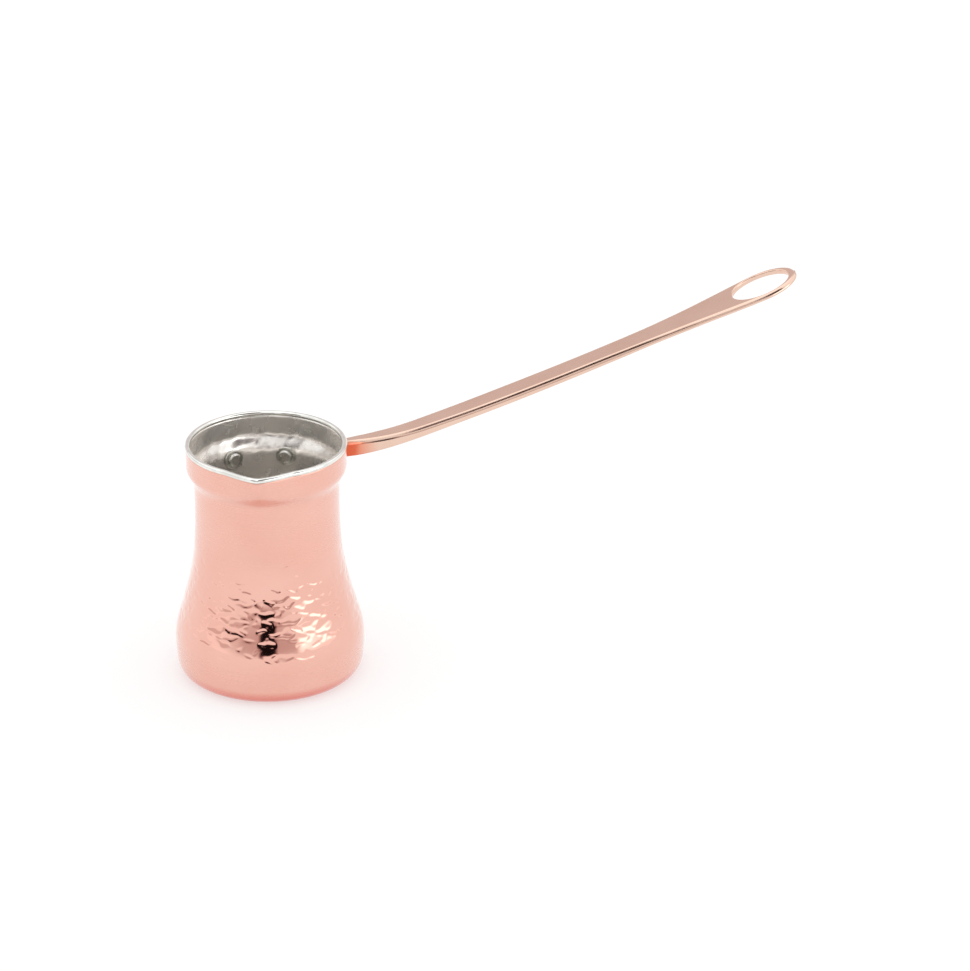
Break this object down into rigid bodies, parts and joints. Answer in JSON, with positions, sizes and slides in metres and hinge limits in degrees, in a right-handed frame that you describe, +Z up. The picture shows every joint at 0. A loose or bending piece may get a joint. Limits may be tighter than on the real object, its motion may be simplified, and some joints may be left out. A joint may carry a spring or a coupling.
{
  "type": "long-handled coffee pot",
  "caption": "Small waisted metal coffee pot (cezve) with a hammered belly, tinned lining and pouring beak, on a long flat handle that ends in a hanging loop.",
  "frame": {"origin": "centre of the flat underside of the pot's base", "axes": "+Z up; +X along the handle's length, away from the pot; +Y completes the right-handed frame, and the pouring beak points roughly towards -Y"},
  "size_m": [0.2419, 0.07, 0.1317],
  "materials": {
    "copper": "polished copper, hammered round the belly",
    "handle_copper": "polished copper",
    "tin": "wiped tin, soft sheen",
    "tinned_rivet": "tinned copper, hammered"
  },
  "bodies": {
    "root": {"body_shell": "copper", "tin_lining": "tin", "rim_bead": "tin", "handle": "handle_copper", "rivet_side": "tinned_rivet", "burr_side": "tinned_rivet", "rivet_rear": "tinned_rivet", "burr_rear": "tinned_rivet"}
  },
  "joints": []
}
